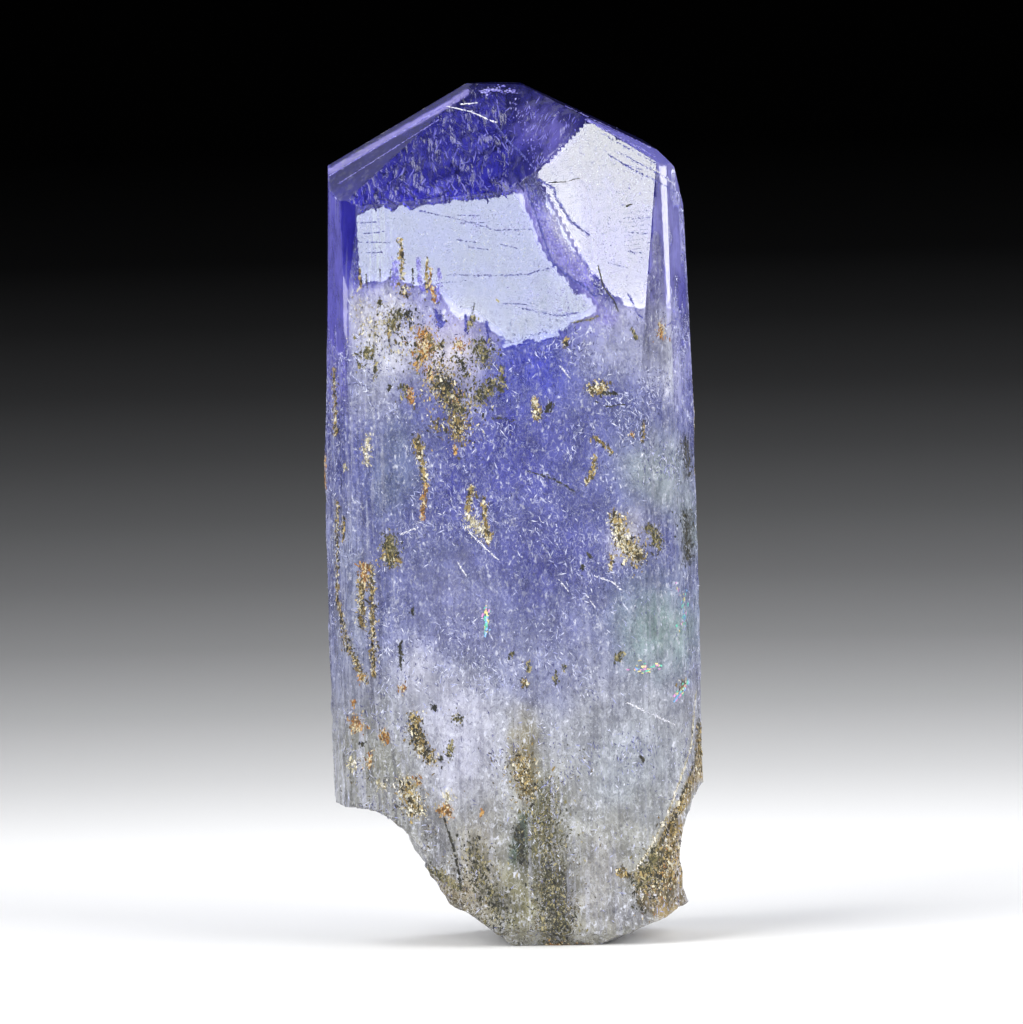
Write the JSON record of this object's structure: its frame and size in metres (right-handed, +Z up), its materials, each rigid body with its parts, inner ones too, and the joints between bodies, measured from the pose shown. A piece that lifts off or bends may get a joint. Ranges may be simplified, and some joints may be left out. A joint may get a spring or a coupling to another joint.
{
  "type": "rough tanzanite crystal",
  "caption": "Natural blue-violet zoisite crystal, a flattened prism with a roof-shaped top, standing on the small flat spot of its broken base.",
  "frame": {"origin": "middle of the crystal's box, on the plane of the flat spot that it stands on", "axes": "+Z up along the crystal's length, -Y towards the side that the picture shows, +X to the picture's right"},
  "size_m": [0.0138, 0.0106, 0.0319],
  "materials": {
    "tanzanite": "glossy natural faces with fine growth lines, clear violet at the top and cloudy towards the broken base"
  },
  "bodies": {
    "root": {"tanzanite_crystal": "tanzanite"}
  },
  "joints": []
}
